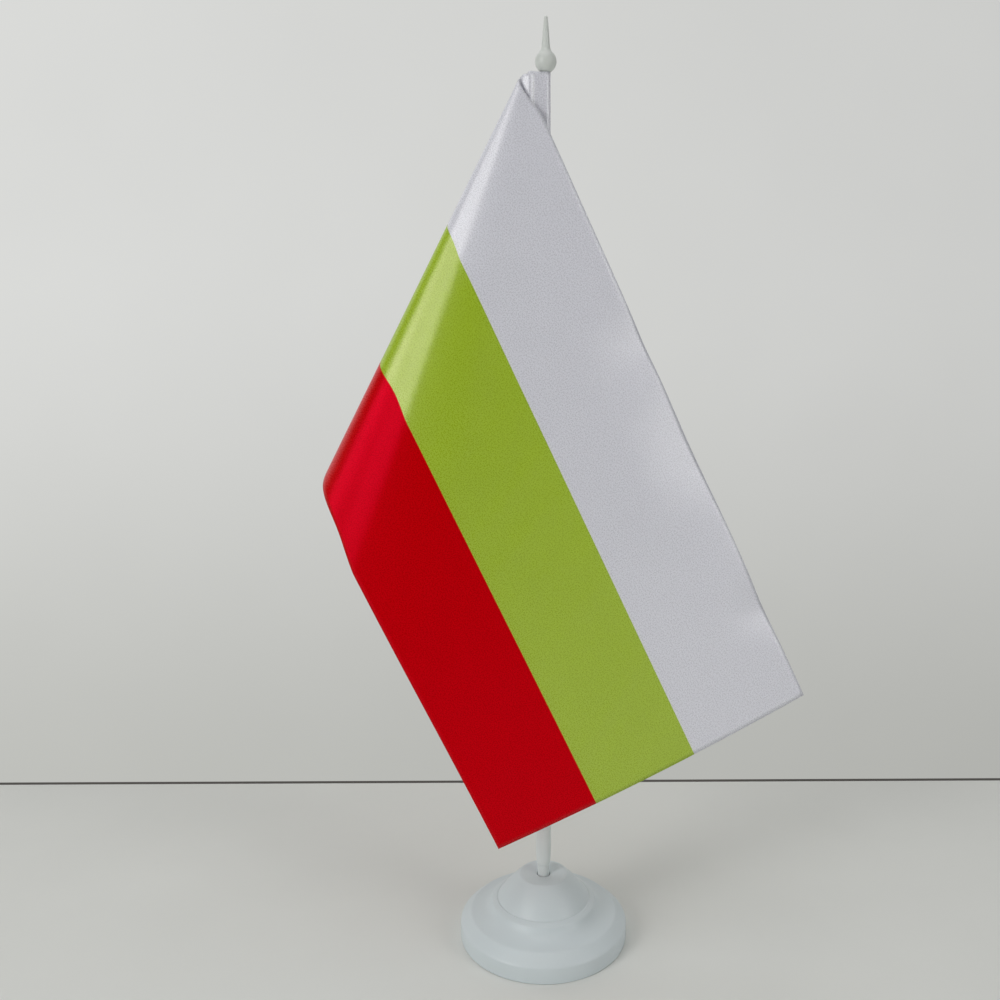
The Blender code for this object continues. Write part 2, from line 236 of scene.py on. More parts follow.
# %% Materials of the stand
PLASTIC_GRAIN = 0.0005
PLASTIC_RELIEF = (0.25, 0.00004)        # strength, and height in metres


def shaded(name, group, values, relief, **constants):
    """A Principled material whose colour, roughness and bump come from a group.

    A value given as a word is a map to read: the cloth's own, or a kind of coordinates.
    """
    made, tree, shader = new_material(name)
    effect = node(tree, "ShaderNodeGroup", None, node_tree=group)
    for key, value in values.items():
        if isinstance(value, str):
            source = (node(tree, "ShaderNodeUVMap", None, uv_map=value).outputs["UV"]
                      if value == "cloth" else
                      node(tree, "ShaderNodeTexCoord").outputs[value])
            tree.links.new(source, effect.inputs[key])
        else:
            effect.inputs[key].default_value = value
    strength, distance = relief
    bump = node(tree, "ShaderNodeBump", {"Strength": strength, "Distance": distance,
                                         "Height": effect.outputs["Height"]})
    tree.links.new(effect.outputs["Colour"], shader.inputs["Base Color"])
    tree.links.new(effect.outputs["Roughness"], shader.inputs["Roughness"])
    tree.links.new(bump.outputs["Normal"], shader.inputs["Normal"])
    for key, value in constants.items():
        shader.inputs[key.replace("_", " ")].default_value = value
    print("material", name)
    return made


def plastic(name, colour, shade, dullness):
    return shaded(name, plastic_group,
                  {"Place": "Object", "Plastic": (*colour, 1), "Shade": (*shade, 1),
                   "Grain size": PLASTIC_GRAIN, "Dullness": dullness},
                  PLASTIC_RELIEF, IOR=1.49)


base_plastic = plastic("base_plastic", (0.655, 0.72, 0.745), (0.60, 0.665, 0.69), 0.42)
pole_plastic = plastic("pole_plastic", (0.71, 0.76, 0.76), (0.65, 0.70, 0.69), 0.40)
finial_plastic = plastic("finial_plastic", (0.63, 0.66, 0.635), (0.57, 0.60, 0.57), 0.36)

# %% [markdown]
# The three stripes are printed on one cloth. The ink colours the light that comes back
# from inside the threads, and a strong red or green ink also tints what their surface
# reflects, so each stripe has its own material with the same weave. Filament threads
# shine more than plastic does, so the reflection is set well above the usual strength.

# %% Materials of the cloth and the thread
SATIN_SHINE = 0.28
SATIN_PITCH, SEWING_PITCH = 0.00025, 0.00012
SATIN_RELIEF, SEWING_RELIEF = (0.35, 0.00006), (0.4, 0.00003)


def satin(name, ink, reflected):
    """A stripe's material: its ink, and the tint of what its threads reflect."""
    # the weave's depth value paints shade into the ink's dips
    return shaded(name, weave_group,
                  {"Cloth": "cloth", "Ink": (*ink, 1), "Thread pitch": SATIN_PITCH,
                   "Shine": SATIN_SHINE, "Depth": 0.14},
                  SATIN_RELIEF, IOR=1.7, Specular_IOR_Level=1.0,
                  Specular_Tint=(*reflected, 1))


cloth_white = satin("cloth_white", (0.72, 0.723, 0.795), (1, 1, 1))
cloth_green = satin("cloth_green", (0.345, 0.51, 0.003), (1.0, 0.97, 0.70))
cloth_red = satin("cloth_red", (0.56, 0.0, 0.0), (0.9, 0.0, 0.05))
# the stitch thread carries the same painted shade in its weave
thread_white = shaded("thread_white", weave_group,
                      {"Cloth": "Object", "Ink": (0.78, 0.78, 0.80, 1),
                       "Thread pitch": SEWING_PITCH, "Shine": 0.5, "Depth": 0.12},
                      SEWING_RELIEF, Sheen_Weight=0.1)

# %% [markdown]
# The base, the pole and the finial are round about one axis, as if turned on a lathe. The
# profile is drawn as a line of corners on one side of the axis. Sharp corners look false,
# because a real mould is always a little rounded, so a helper first turns each corner into
# a small arc. Spinning the line then gives the whole piece, and merging doubles and
# recalculating normals closes the poles and points every face outwards.

# %% Helpers for turned pieces
NEARLY_HALF = 0.49        # two arcs on one straight part don't meet
SAME_POINT = 1e-7
LATHE_SMOOTH = 50         # degrees, past which an edge stays sharp


def rounded(corners, steps=4):
    """Turn corners (radius, height, fillet) into a line of points with small arcs."""
    points = []
    for i, (r, z, fillet) in enumerate(corners):
        here = Vector((r, z))
        if not fillet or i in (0, len(corners) - 1):
            points.append(here)
            continue
        before = Vector(corners[i - 1][:2]) - here
        after = Vector(corners[i + 1][:2]) - here
        reach = min(fillet, before.length * NEARLY_HALF, after.length * NEARLY_HALF)
        start, end = here + before.normalized() * reach, here + after.normalized() * reach
        for step in range(steps + 1):
            t = step / steps
            points.append(start * (1 - t) ** 2 + here * 2 * t * (1 - t) + end * t * t)
    return points


def curve(start, bend, end, count):
    """Corners along a quadratic curve, both ends left out."""
    a, b, c = Vector(start), Vector(bend), Vector(end)
    ts = [step / count for step in range(1, count)]
    return [(*(a * (1 - t) ** 2 + b * 2 * t * (1 - t) + c * t * t), 0) for t in ts]


def finished(name, bm, materials, normals=True):
    """Make an object at the origin from a bmesh, smooth, with faces pointing outwards."""
    bmesh.ops.remove_doubles(bm, verts=bm.verts, dist=SAME_POINT)
    if normals:
        bmesh.ops.recalc_face_normals(bm, faces=bm.faces)
    mesh = bpy.data.meshes.new(name)
    bm.to_mesh(mesh)
    bm.free()
    for each in materials:
        mesh.materials.append(each)
    mesh.shade_smooth()
    return linked(name, mesh)


def turned(name, points, sides, material):
    """Spin a line of (radius, height) points about Z."""
    bm = bmesh.new()
    corners = [bm.verts.new((r, 0, z)) for r, z in points]
    edges = [bm.edges.new(pair) for pair in zip(corners, corners[1:])]
    bmesh.ops.spin(bm, geom=corners + edges, cent=(0, 0, 0), axis=(0, 0, 1),
                   angle=math.tau, steps=sides, use_merge=True)
    made = finished(name, bm, [material])
    made.data.set_sharp_from_angle(angle=math.radians(LATHE_SMOOTH))
    print(name, len(made.data.polygons), "faces")
    return made


# %% [markdown]
# The base has an upright band, a sloping flat above it, a hollow cove that rises to a
# narrow raised ring, and a dome with a dished top where the pole goes in. Underneath it is
# hollow, as such mouldings are, to save plastic and to cool evenly: a wall of even
# thickness, a boss with the socket for the pole, and four upright webs.

# %% Measures of the base
GAP = 0.0003              # kept between pieces that touch
BASE_R, BAND_Z = 0.0383, 0.0076
EDGE = (0.0335, 0.0119)   # where the slope turns into the cove
RING_R, RING_Z = 0.02385, 0.0174
RING_IN, RING_TOP_Z = 0.02125, 0.0185
DOME_R, DOME_Z = 0.0110, 0.0300
MOUTH_Z = 0.0297          # of the socket, in the dish on top
SOCKET_R, SOCKET_FLOOR = 0.00295, 0.0030
BOSS_R = 0.00515
WALL = 0.0020
BASE_SIDES, POLE_SIDES = 144, 64
COVE_BEND = (RING_R + 0.0016, EDGE[1] + 0.0006)
DOME_BEND = (RING_IN - 0.0045, DOME_Z - 0.0054)


def base_profile():
    """Corners of the outside and, past the socket's mouth, of the inside of the socket."""
    shown = [(BASE_R, 0.0, 0.0005), (BASE_R, BAND_Z, 0.0008), (*EDGE, 0.0012)]
    shown += curve(EDGE, COVE_BEND, (RING_R + 0.0003, RING_Z - 0.0008), 10)
    foot = (RING_IN - 0.0002, RING_TOP_Z - 0.0001)
    shown += [(RING_R + 0.0003, RING_Z - 0.0008, 0.0003), (RING_R - 0.0001, RING_Z, 0.0005)]
    shown += [(RING_IN + 0.0003, RING_TOP_Z, 0.0003), (*foot, 0.0004)]
    shown += curve(foot, DOME_BEND, (DOME_R, DOME_Z - 0.0002), 16)
    shown += [(DOME_R, DOME_Z - 0.0001, 0.0010), (DOME_R - 0.0014, DOME_Z, 0.0008)]
    shown += [(SOCKET_R + 0.0012, MOUTH_Z, 0.0006), (SOCKET_R, MOUTH_Z - 0.0002, 0.0003)]
    hidden = [(SOCKET_R, SOCKET_FLOOR, 0.0004), (0.0, SOCKET_FLOOR, 0)]
    return shown, hidden


def inner_wall():
    """The hidden side of the wall, from the foot of the band up and in to the boss."""
    line = [(BASE_R - WALL, 0.0), (BASE_R - WALL, BAND_Z - 0.0012)]
    line += [(EDGE[0] - 0.0010, EDGE[1] - WALL), (RING_R + 0.0012, EDGE[1] - 0.0012)]
    line += [(RING_IN - 0.0016, RING_TOP_Z - 0.0018), (DOME_R + 0.0004, DOME_Z - 0.0028)]
    line += [(DOME_R - 0.0010, DOME_Z - 0.0024), (BOSS_R, DOME_Z - 0.0024)]
    return line


# %% Turn the base
shown, hidden = base_profile()
inside = inner_wall()
under = [(0.0, 0.0, 0), (BOSS_R, 0.0, 0.0004)] + [(r, z, 0.0006) for r, z in inside[::-1]]
base_points = rounded(under + shown + hidden)
base_shell = turned("base_shell", base_points, BASE_SIDES, base_plastic)

# %% [markdown]
# The webs are one plate repeated round the axis. A Geometry Nodes tree makes the copies:
# the plate comes in as geometry, a ring of points gives the places, and each copy turns
# with its point. The result is made a plain mesh and joined to the shell with a Boolean,
# so that the base is one closed skin as a moulding is.

# %% Ring of copies as a Geometry Nodes tree
GEOMETRY, INTEGER, MATERIAL = "NodeSocketGeometry", "NodeSocketInt", "NodeSocketMaterial"


def plain(made, name):
    """Bake an object's modifiers into a plain mesh object, and drop the old one."""
    bpy.context.view_layer.update()
    mesh = bpy.data.meshes.new_from_object(
        made.evaluated_get(bpy.context.evaluated_depsgraph_get()))
    bpy.data.objects.remove(made)
    return linked(name, mesh)


def grown(made, tree, values, name):
    """Run a Geometry Nodes tree on an object with named values, as a plain mesh."""
    modifier = made.modifiers.new(tree.name, "NODES")
    modifier.node_group = tree
    for socket in tree.interface.items_tree:
        if socket.in_out == "INPUT" and socket.name in values:
            modifier[socket.identifier] = values[socket.name]
    return plain(made, name)


def ring_of_copies():
    tree, given, put = node_group("ring_of_copies", "GeometryNodeTree", {
        "Plate": (GEOMETRY, None), "Count": (INTEGER, 4), "Turn": (FLOAT, 0.0),
        "Finish": (MATERIAL, None)}, {"Geometry": GEOMETRY})
    points = node(tree, "GeometryNodePoints", {"Count": given["Count"]})
    index = node(tree, "GeometryNodeInputIndex").outputs[0]
    step = maths(tree, "DIVIDE", math.tau, given["Count"])
    angle = maths(tree, "MULTIPLY_ADD", index, step, given["Turn"])
    turn = node(tree, "ShaderNodeCombineXYZ", {2: angle})
    copies = node(tree, "GeometryNodeInstanceOnPoints",
                  {"Points": points.outputs[0], "Instance": given["Plate"],
                   "Rotation": turn.outputs[0]})
    real = node(tree, "GeometryNodeRealizeInstances", {0: copies.outputs[0]})
    dressed = node(tree, "GeometryNodeSetMaterial",
                   {"Geometry": real.outputs[0], "Material": given["Finish"]})
    tree.links.new(dressed.outputs[0], put["Geometry"])
    return tree


# %% Webs and the finished base
WEB_COUNT, WEB_TURN = 4, 45             # the first stands at this many degrees
WEB_THICKNESS, WEB_LIFT = 0.0014, 0.0020
BASE_SMOOTH = 40
sunk = WALL / 2
outline = [(BOSS_R - sunk, WEB_LIFT), (inside[0][0] + sunk, WEB_LIFT)]
outline += [(r + sunk * 0.5, z + sunk * 0.5) for r, z in inside[1:-1]]
outline += [(BOSS_R - sunk, inside[-1][1] + sunk)]
bm = bmesh.new()
plate = bm.faces.new([bm.verts.new((r, -WEB_THICKNESS / 2, z)) for r, z in outline])
side = bmesh.ops.extrude_face_region(bm, geom=[plate])["geom"]
bmesh.ops.translate(bm, vec=(0, WEB_THICKNESS, 0),
                    verts=[v for v in side if isinstance(v, bmesh.types.BMVert)])
web = finished("web", bm, [base_plastic])
webs = grown(web, ring_of_copies(), {"Count": WEB_COUNT, "Turn": math.radians(WEB_TURN),
                                     "Finish": base_plastic}, "webs")
union = base_shell.modifiers.new("union", "BOOLEAN")
union.operation, union.solver, union.object = "UNION", "EXACT", webs
base = plain(base_shell, "base_moulding")
bpy.data.objects.remove(webs)
base.data.set_sharp_from_angle(angle=math.radians(BASE_SMOOTH))
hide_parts("base")
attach(base, "base")
print("base", len(base.data.polygons), "faces")

# %% [markdown]
# The pole is a tapered stick, thickest just above the base and thinnest inside the
# finial. At its foot a thinner spigot drops into the base's socket, and a rounded shoulder
# swells up to the full width. The finial is a ball with a fine spike, pushed onto the top.

# %% Turn the pole and the finial
POLE_R, SPIGOT_R, TIP_R = 0.00345, 0.00265, 0.0016
SHOULDER_Z = MOUTH_Z + 0.0050
SWELL_Z = SHOULDER_Z + 0.0065           # full width, above the shoulder
BALL_Z, BALL_R = 0.3830, 0.00435
HOLE_R, HOLE_DEPTH = TIP_R + GAP, 0.0050
BALL_FOOT_Z = BALL_Z - math.sqrt(BALL_R ** 2 - HOLE_R ** 2)
SLEEVE_TOP_Z = BALL_FOOT_Z - GAP
TIP_Z = 0.4001
POLE_HEIGHTS = (0.12, 0.20, 0.28, 0.34)


def pole_radius(z):
    """The taper, from its full width to the width it has in the finial."""
    return POLE_R + (z - SWELL_Z) / (BALL_Z - SWELL_Z) * (TIP_R - POLE_R)


foot_z, neck_z = SOCKET_FLOOR + GAP, BALL_FOOT_Z - GAP
top_z = BALL_FOOT_Z + HOLE_DEPTH - GAP
pole_line = [(0, foot_z, 0), (SPIGOT_R, foot_z, 0.0006), (SPIGOT_R, SHOULDER_Z, 0.0003)]
pole_line += [(SPIGOT_R + 0.00045, SHOULDER_Z + 0.0004, 0.0004), (POLE_R, SWELL_Z, 0.0040)]
pole_line += [(pole_radius(z), z, 0) for z in POLE_HEIGHTS]
pole_line += [(pole_radius(neck_z), neck_z, 0.0001), (TIP_R, neck_z + 0.0002, 0.0001)]
pole_line += [(TIP_R, top_z, 0.0005), (0, top_z, 0)]
pole = turned("pole_moulding", rounded(pole_line, 6), POLE_SIDES, pole_plastic)
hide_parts("pole")
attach(pole, "pole")

FLARE, FLARE_RISE = math.radians(38), 0.0014      # where the spike leaves the ball
WAIST = (0.0017, BALL_Z + 0.0062)
SPIKE_MIDDLE_R, SPIKE_END_R, SPIKE_TIP_R = 0.00122, 0.00075, 0.0004
BALL_STEPS = 20
foot = math.asin((BALL_FOOT_Z - BALL_Z) / BALL_R)
ball = [foot + (FLARE - foot) * step / BALL_STEPS for step in range(BALL_STEPS + 1)]
hole_z = BALL_FOOT_Z + HOLE_DEPTH
finial_line = [(0, hole_z, 0), (HOLE_R, hole_z, 0.0002)]
finial_line += [(BALL_R * math.cos(a), BALL_Z + BALL_R * math.sin(a), 0) for a in ball]
on_ball = finial_line[-1][:2]
finial_line += curve(on_ball, (WAIST[0], on_ball[1] + FLARE_RISE), WAIST, 10)
finial_line += [(*WAIST, 0), (SPIKE_MIDDLE_R, (WAIST[1] + TIP_Z) / 2, 0)]
finial_line += [(SPIKE_END_R, TIP_Z - 0.0003, 0.0005), (SPIKE_TIP_R, TIP_Z, 0.0003)]
finial_line += [(0, TIP_Z, 0)]
finial = turned("finial_moulding", rounded(finial_line), POLE_SIDES, finial_plastic)
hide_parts("finial")
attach(finial, "finial")

# %% [markdown]
# The flag is one piece of cloth. Its hoist is turned round the pole and sewn into a
# sleeve, and the rest hangs off to one side and folds back over itself, because the cloth
# is longer than the stand can hold up. A limp sheet hung from one line falls into a cone:
# straight lines run down through it from a point near the sleeve's top. So a point of the
# flat cloth is placed by its angle and distance from that point, and the angle follows a
# curve of directions: a flat back layer, a tight roll and a nearly flat front layer. The
# cloth keeps its own lengths this way, which a free-hand surface would not.

# %% Measures of the cloth
FLAG_HOIST = 0.1500
PANEL_LENGTH = 0.2910
CLOTH = 0.00025           # real thickness of the satin
SEAM_R = 0.0045           # from the pole's axis to the seam that closes the sleeve
HOIST_R = 0.0073          # from the axis to the line where the panel starts to fold
FLAP = 0.0021             # turned edge behind the seam
HOIST_ANGLE = 206.9       # degrees about the pole, where the sleeve's seam stands
FOLD_RISE = 0.0050        # from the cloth's top edge up to the cone's point
BACK_HEADING, BACK_ARC = 22.3, 19.1                   # degrees: the flat back layer
ROLL_ARC, ROLL_BEND, FRONT_BEND = 25.95, -8.0, 0.15   # the tight roll, the front layer
GREEN_FROM, RED_FROM = 0.0544, 0.1025     # down from the cloth's top edge

seam_way = Matrix.Rotation(math.radians(HOIST_ANGLE), 3, "Z") @ Vector((1, 0, 0))
seam_back = Vector((seam_way.y, -seam_way.x, 0))
UP = Vector((0, 0, 1))


def fan_arcs():
    """The fold as arcs on a sphere of directions: start, direction, axis, rate."""
    heading = math.radians(BACK_HEADING)
    way, ahead = -UP, Vector((-math.cos(heading), math.sin(heading), 0))
    back, roll = math.radians(BACK_ARC), math.radians(ROLL_ARC)
    arcs, start = [], 0.0
    for length, bend in ((back, 0.0), (roll, ROLL_BEND), (math.pi / 2 - back - roll, FRONT_BEND)):
        axis = way.cross(ahead) + bend * way
        arcs.append((start, way.copy(), axis.normalized(), axis.length))
        turn = Matrix.Rotation(length * axis.length, 3, axis.normalized())
        way, ahead, start = turn @ way, turn @ ahead, start + length
    return arcs


arcs = fan_arcs()
apex = seam_way * HOIST_R + UP * (SLEEVE_TOP_Z + FOLD_RISE)


def on_cone(u, v):
    """Where a point of the flat panel hangs before its small waves."""
    fan = math.atan2(u, v + FOLD_RISE)
    start, way, axis, rate = [arc for arc in arcs if arc[0] <= fan + 1e-9][-1]
    turn = Matrix.Rotation((fan - start) * rate, 3, axis)
    return apex + turn @ way * math.hypot(u, v + FOLD_RISE)


print("fold starts at", [round(c, 4) for c in apex])

# %% [markdown]
# Real cloth is never a perfect cone. The front layer's top edge curls away from the side
# it faces in three places, faint creases from packing cross it, and the whole sheet
# breathes by a fraction of a millimetre. The weight of the free end also presses the
# front of the roll in, and that hollow holds the satin's long highlight. These waves move
# each point along the surface's normal.

# %% Small waves of the cloth
def bump(x, middle, width):
    """1 at the middle, fading to nothing on both sides."""
    return math.exp(-((x - middle) / width) ** 2)


def ease(x, low, high):
    """0 up to low, 1 from high on, and a soft step between."""
    t = min(1.0, max(0.0, (x - low) / (high - low)))
    return t * t * (3 - 2 * t)


# Along the top edge: place, half width and depth of each curl.
CURLS = ((0.122, 0.012, 0.0026), (0.172, 0.028, 0.0044), (0.247, 0.014, 0.0034))
CURL_REACH = 0.030
# Place along and down the cloth, slant in degrees and height of each crease.
CREASES = ((0.150, 0.070, 62, 0.00016), (0.175, 0.085, 66, 0.00013), (0.262, 0.088, 60, 0.00018),
           (0.205, 0.060, 64, 0.00012))


CREASE_WIDTH, CREASE_REACH = 0.0035, 0.028
SWELL, SWELL_RATE, SWELL_SHIFT, SWELL_DROP = 0.0009, 38, 0.6, 0.06
RIPPLE, RIPPLE_RATE = 0.0006, 16
CRINKLE, CRINKLE_RATE = 0.00012, 70
# The press starts, is deepest, slackens and ends at these angles of the fan, in degrees.
PRESS_START, PRESS_DEEPEST, PRESS_SLACK, PRESS_END = 35.0, 42.0, 45.0, 55.0
PRESS, PRESS_REBOUND = 0.028, 0.0075


def flattened(fan):
    """How far the roll's front is pressed in, as a share of the distance from the apex."""
    if fan < PRESS_DEEPEST:
        return -PRESS * ease(fan, PRESS_START, PRESS_DEEPEST)
    if fan < PRESS_SLACK:
        t = (fan - PRESS_DEEPEST) / (PRESS_SLACK - PRESS_DEEPEST)
        return -PRESS + PRESS_REBOUND * t ** 2
    t = (fan - PRESS_SLACK) / (PRESS_END - PRESS_SLACK)
    return (PRESS_REBOUND - PRESS) * max(0.0, 1 - t) ** 2


def wave(u, v):
    """Height of the small waves, towards the side that the front layer faces."""
    fan = math.degrees(math.atan2(u, v + FOLD_RISE))
    front = ease(fan, BACK_ARC + ROLL_ARC * 0.8, BACK_ARC + ROLL_ARC + 16)
    away = ease(u, 0.004, 0.05)
    edge = max(0.0, 1 - v / CURL_REACH) ** 2
    height = -edge * sum(size * bump(u, at, width) for at, width, size in CURLS)
    height += SWELL * math.sin(u * SWELL_RATE + SWELL_SHIFT) * math.exp(-v / SWELL_DROP)
    for at_u, at_v, slant, size in CREASES:
        c, s = math.cos(math.radians(slant)), math.sin(math.radians(slant))
        along = (u - at_u) * c + (v - at_v) * s
        across = -(u - at_u) * s + (v - at_v) * c
        height += size * bump(across, 0, CREASE_WIDTH) * bump(along, 0, CREASE_REACH)
    height += RIPPLE * noise.noise(Vector((u * RIPPLE_RATE, v * RIPPLE_RATE, 3.7)))
    height += CRINKLE * noise.noise(Vector((u * CRINKLE_RATE, v * CRINKLE_RATE, 9.1)))
    return height * front * away + flattened(fan) * math.hypot(u, v + FOLD_RISE)


FLY_SHORT, FLY_BOW = 0.0013, 0.0022
TOP_DROPS = ((0.0010, 0, 0.0010), (0.0019, 0.0022, 0.0050))    # depth, from, to
TOP_FADE, TOP_REACH = (0.007, 0.024), 0.030
CORNER_RISE, CORNER_FROM = 0.0017, 0.12
SLIP, SLIP_AT, SLIP_WIDTH = 0.0042, 0.108, 0.034
SLIP_IN, SLIP_OUT = (20, 33), (33, 44)                          # angles of the fan, degrees
NEARBY = 0.0004           # a step to a neighbouring point, to find the surface's normal


def fly_end(v):
    """Length of the panel at a height: the cut is a little bowed."""
    bow = 1 - ((v - FLAG_HOIST / 2) / (FLAG_HOIST / 2)) ** 2
    return PANEL_LENGTH - FLY_SHORT + FLY_BOW * bow


def hung(u, v):
    """Small shifts of a flat point: a slanted top edge, a shorter corner, a slip in the fold."""
    top = sum(depth * ease(u, low, high) for depth, low, high in TOP_DROPS)
    drop = top * (1 - ease(u, *TOP_FADE)) * max(0.0, 1 - v / TOP_REACH) ** 2
    corner = CORNER_RISE * ease(u, CORNER_FROM, PANEL_LENGTH) * (v / FLAG_HOIST) ** 3
    fan = math.degrees(math.atan2(u, v + FOLD_RISE))
    slip = SLIP * bump(v, SLIP_AT, SLIP_WIDTH) * ease(fan, *SLIP_IN) * (1 - ease(fan, *SLIP_OUT))
    return u * fly_end(v) / PANEL_LENGTH, v + drop - corner + slip


def panel_point(u, v):
    """Where a point of the flat panel hangs, waves and all."""
    u, v = hung(u, v)
    here = on_cone(u, v)
    lengthwise = on_cone(u + NEARBY, v) - here
    downwards = on_cone(u, v + NEARBY) - here
    return here + downwards.cross(lengthwise).normalized() * wave(u, v)


THREADS_APART = 0.0018    # between the mesh's rows, and its widest columns
COLUMN_STEPS = ((0.012, 0.0004), (0.040, 0.0010), (PANEL_LENGTH, THREADS_APART))
SLEEVE_SLACK, LAP_GAP = 0.0001, 0.00005
FLAP_STEPS, LOOP_STEPS, HOIST_STEPS = 3, 36, 4


def panel_columns():
    """Distances from the hoist line, close together where the fold starts."""
    columns, u = [], 0.0
    while u < PANEL_LENGTH - THREADS_APART / 2:
        columns.append(u)
        u += next(step for end, step in COLUMN_STEPS if u < end)
    return columns + [PANEL_LENGTH]


def sleeve_columns(z):
    """The sleeve in plan at a height, from the flap's edge round to the hoist line."""
    round_r = pole_radius(z) + SLEEVE_SLACK + CLOTH / 2
    lap = CLOTH + LAP_GAP
    tangent = math.acos(round_r / SEAM_R)
    line = [(SEAM_R + FLAP * (1 - step / FLAP_STEPS), lap) for step in range(FLAP_STEPS + 1)]
    for step in range(LOOP_STEPS + 1):
        angle = tangent + (math.tau - 2 * tangent) * step / LOOP_STEPS
        line.append((round_r * math.cos(angle), round_r * math.sin(angle)))
    line += [(SEAM_R + (HOIST_R - SEAM_R) * step / HOIST_STEPS, 0.0)
             for step in range(HOIST_STEPS)]
    return line


# %% Weave the flag's mesh
def cloth_rows():
    """Rows down the cloth, with one exactly on each stripe's edge."""
    rows = []
    for top, bottom in ((0, GREEN_FROM), (GREEN_FROM, RED_FROM), (RED_FROM, FLAG_HOIST)):
        count = round((bottom - top) / THREADS_APART)
        rows += [top + (bottom - top) * step / count for step in range(count)]
    return rows + [FLAG_HOIST]


def flag_surface():
    """One sheet from the flap's edge round the pole and out to the fly end, with its map."""
    columns, rows = panel_columns(), cloth_rows()
    bm = bmesh.new()
    flat = bm.loops.layers.uv.new("cloth")
    grid, places = [], []
    for v in rows:
        z = SLEEVE_TOP_Z - v
        plan = sleeve_columns(z)
        line = [seam_way * out + seam_back * back + UP * z for out, back in plan]
        lengths = [0.0]
        for a, b in zip(line, line[1:] + [seam_way * HOIST_R + UP * z]):
            lengths.append(lengths[-1] + (b - a).length)
        start = lengths[-1]
        line += [panel_point(u, v) for u in columns]
        grid.append([bm.verts.new(point) for point in line])
        places.append([(s - start, v) for s in lengths[:-1]] + [(u, v) for u in columns])
    for i in range(len(rows) - 1):
        stripe = (rows[i] > GREEN_FROM - 1e-6) + (rows[i] > RED_FROM - 1e-6)
        for j in range(len(grid[0]) - 1):
            face = bm.faces.new((grid[i][j], grid[i][j + 1], grid[i + 1][j + 1], grid[i + 1][j]))
            face.material_index = stripe
            spots = (places[i][j], places[i][j + 1], places[i + 1][j + 1], places[i + 1][j])
            for loop, spot in zip(face.loops, spots):
                loop[flat].uv = spot
    sleeve = -places[0][0][0]
    print("cloth", len(bm.faces), "faces; sleeve takes", round(sleeve * 1000, 1), "mm")
    return bm


flag = finished("flag_cloth", flag_surface(), [cloth_white, cloth_green, cloth_red], normals=False)
thick = flag.modifiers.new("thickness", "SOLIDIFY")
thick.thickness, thick.offset, thick.use_even_offset = CLOTH, 0.0, True
flag = plain(flag, "flag_cloth")
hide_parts("flag")
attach(flag, "flag")

# %% [markdown]
# One row of lockstitch closes the sleeve. From either side it shows as a line of short
# dashes, each a thread that comes up through the cloth, lies over it and goes down again.
# The dashes repeat along a line, so a Geometry Nodes tree makes them: it steps along the
# line at the stitch length and puts a small curved thread at each step.

# %% Stitch row as a Geometry Nodes tree
def stitch_row():
    tree, given, put = node_group("stitch_row", "GeometryNodeTree", {
        "Line": (GEOMETRY, None), "Pitch": (FLOAT, 0.0024), "Stitch": (FLOAT, 0.0019),
        "Thread radius": (FLOAT, 0.00011), "Rise": (FLOAT, 0.0002), "Out": (VECTOR, None),
        "Finish": (MATERIAL, None)}, {"Geometry": GEOMETRY})
    path = node(tree, "GeometryNodeMeshToCurve", {"Mesh": given["Line"]})
    steps = node(tree, "GeometryNodeResampleCurve",
                 {"Curve": path.outputs[0], "Length": given["Pitch"]}, mode="LENGTH")
    half = maths(tree, "DIVIDE", given["Stitch"], 2.0)
    low = node(tree, "ShaderNodeCombineXYZ", {2: maths(tree, "MULTIPLY", half, -1.0)})
    high = node(tree, "ShaderNodeCombineXYZ", {2: half})
    lift = node(tree, "ShaderNodeVectorMath", {0: given["Out"], "Scale": given["Rise"]},
                operation="SCALE")
    arc = node(tree, "GeometryNodeCurveQuadraticBezier",
               {"Resolution": 8, "Start": low.outputs[0], "Middle": lift.outputs[0],
                "End": high.outputs[0]})
    ring = node(tree, "GeometryNodeCurvePrimitiveCircle",
                {"Resolution": 8, "Radius": given["Thread radius"]}, mode="RADIUS")
    thread = node(tree, "GeometryNodeCurveToMesh",
                  {"Curve": arc.outputs[0], "Profile Curve": ring.outputs[0], "Fill Caps": True})
    copies = node(tree, "GeometryNodeInstanceOnPoints",
                  {"Points": steps.outputs[0], "Instance": thread.outputs[0]})
    real = node(tree, "GeometryNodeRealizeInstances", {0: copies.outputs[0]})
    dressed = node(tree, "GeometryNodeSetMaterial",
                   {"Geometry": real.outputs[0], "Material": given["Finish"]})
    tree.links.new(dressed.outputs[0], put["Geometry"])
    return tree


STITCH_CLEAR = 0.00002    # off the cloth, so that the thread never sinks into it
SEAM_END = 0.002          # from the cloth's edges to the first and last stitch
stitch_tree = stitch_row()


def stitches(name, out, node_name):
    """A row of stitches down the flap, on the side of the cloth that faces out."""
    side = seam_back if out > 0 else -seam_back
    off = STITCH_CLEAR + (CLOTH * 1.5 + LAP_GAP if out > 0 else CLOTH / 2)
    middle = seam_way * (SEAM_R + FLAP * 0.5) + side * off
    bm = bmesh.new()
    bm.edges.new([bm.verts.new(middle + UP * (SLEEVE_TOP_Z - v))
                  for v in (SEAM_END, FLAG_HOIST - SEAM_END)])
    line = finished(name + "_line", bm, [], normals=False)
    row = grown(line, stitch_tree, {"Pitch": 0.0024, "Stitch": 0.0019, "Thread radius": 0.00011,
                                    "Rise": 0.0002, "Out": side, "Finish": thread_white}, name)
    row.data.shade_smooth()
    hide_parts(node_name)
    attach(row, "flag")
    print(name, len(row.data.polygons), "faces")
    return row


stitches_front = stitches("stitches_front", -1, "seam_thread_front")
stitches_back = stitches("stitches_back", 1, "seam_thread_back")
